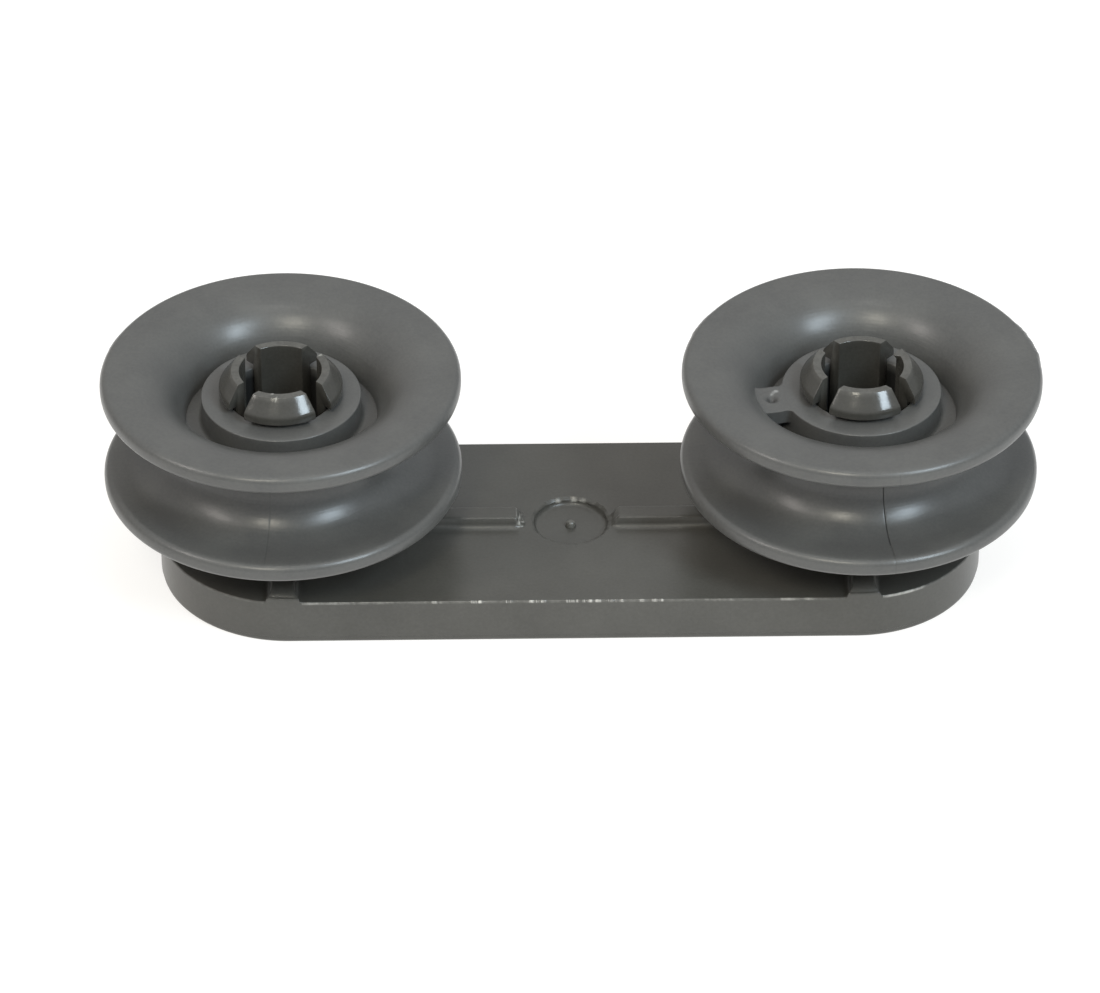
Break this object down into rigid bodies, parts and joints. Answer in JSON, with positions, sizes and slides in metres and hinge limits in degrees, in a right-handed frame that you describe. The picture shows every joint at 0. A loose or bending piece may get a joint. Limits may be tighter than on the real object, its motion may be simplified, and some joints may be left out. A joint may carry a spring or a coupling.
{
  "type": "sliding door roller",
  "caption": "Flat moulded carriage plate with round ends, carrying grooved plastic wheels that snap over hollow split posts.",
  "frame": {"origin": "on the plate's back face, midway between the two wheels", "axes": "+X along the plate from the left wheel to the right wheel, +Z out of the plate along the wheel axes, -Y towards the plate's front edge"},
  "size_m": [0.094, 0.036, 0.0242],
  "materials": {
    "base_plastic": "warm dark grey, semi-gloss, fine moulded grain",
    "wheel_plastic": "cool mid grey, satin, fine moulded grain"
  },
  "bodies": {
    "carriage": {"base_plate": "base_plastic"},
    "left_wheel": {"left_wheel": "wheel_plastic"},
    "right_wheel": {"right_wheel": "wheel_plastic"},
    "left_finger_front": {"left_finger_front": "base_plastic"},
    "left_finger_right": {"left_finger_right": "base_plastic"},
    "left_finger_back": {"left_finger_back": "base_plastic"},
    "left_finger_left": {"left_finger_left": "base_plastic"},
    "right_finger_front": {"right_finger_front": "base_plastic"},
    "right_finger_right": {"right_finger_right": "base_plastic"},
    "right_finger_back": {"right_finger_back": "base_plastic"},
    "right_finger_left": {"right_finger_left": "base_plastic"}
  },
  "joints": [
    {"name": "left_wheel_spin", "type": "hinge", "parent": "carriage", "child": "left_wheel", "pos_m": [-0.029, 0, 0.0174], "axis": [0, 0, 1], "continuous": true},
    {"name": "right_wheel_spin", "type": "hinge", "parent": "carriage", "child": "right_wheel", "pos_m": [0.029, 0, 0.0174], "axis": [0, 0, 1], "continuous": true},
    {"name": "left_finger_front_flex", "type": "hinge", "parent": "carriage", "child": "left_finger_front", "pos_m": [-0.029, -0.00465, 0.01365], "axis": [-1, 0, 0], "range_deg": [0, 7], "stiffness_Nm_per_rad": 0.75},
    {"name": "left_finger_right_flex", "type": "hinge", "parent": "carriage", "child": "left_finger_right", "pos_m": [-0.02435, 0, 0.01365], "axis": [0, -1, 0], "range_deg": [0, 7], "stiffness_Nm_per_rad": 0.75},
    {"name": "left_finger_back_flex", "type": "hinge", "parent": "carriage", "child": "left_finger_back", "pos_m": [-0.029, 0.00465, 0.01365], "axis": [1, 0, 0], "range_deg": [0, 7], "stiffness_Nm_per_rad": 0.75},
    {"name": "left_finger_left_flex", "type": "hinge", "parent": "carriage", "child": "left_finger_left", "pos_m": [-0.03365, 0, 0.01365], "axis": [0, 1, 0], "range_deg": [0, 7], "stiffness_Nm_per_rad": 0.75},
    {"name": "right_finger_front_flex", "type": "hinge", "parent": "carriage", "child": "right_finger_front", "pos_m": [0.029, -0.00465, 0.01365], "axis": [-1, 0, 0], "range_deg": [0, 7], "stiffness_Nm_per_rad": 0.75},
    {"name": "right_finger_right_flex", "type": "hinge", "parent": "carriage", "child": "right_finger_right", "pos_m": [0.03365, 0, 0.01365], "axis": [0, -1, 0], "range_deg": [0, 7], "stiffness_Nm_per_rad": 0.75},
    {"name": "right_finger_back_flex", "type": "hinge", "parent": "carriage", "child": "right_finger_back", "pos_m": [0.029, 0.00465, 0.01365], "axis": [1, 0, 0], "range_deg": [0, 7], "stiffness_Nm_per_rad": 0.75},
    {"name": "right_finger_left_flex", "type": "hinge", "parent": "carriage", "child": "right_finger_left", "pos_m": [0.02435, 0, 0.01365], "axis": [0, 1, 0], "range_deg": [0, 7], "stiffness_Nm_per_rad": 0.75}
  ],
  "couplings": [
    {"joint": "left_finger_right_flex", "follows": "left_finger_front_flex", "ratio": 1},
    {"joint": "left_finger_back_flex", "follows": "left_finger_front_flex", "ratio": 1},
    {"joint": "left_finger_left_flex", "follows": "left_finger_front_flex", "ratio": 1},
    {"joint": "right_finger_right_flex", "follows": "right_finger_front_flex", "ratio": 1},
    {"joint": "right_finger_back_flex", "follows": "right_finger_front_flex", "ratio": 1},
    {"joint": "right_finger_left_flex", "follows": "right_finger_front_flex", "ratio": 1}
  ]
}
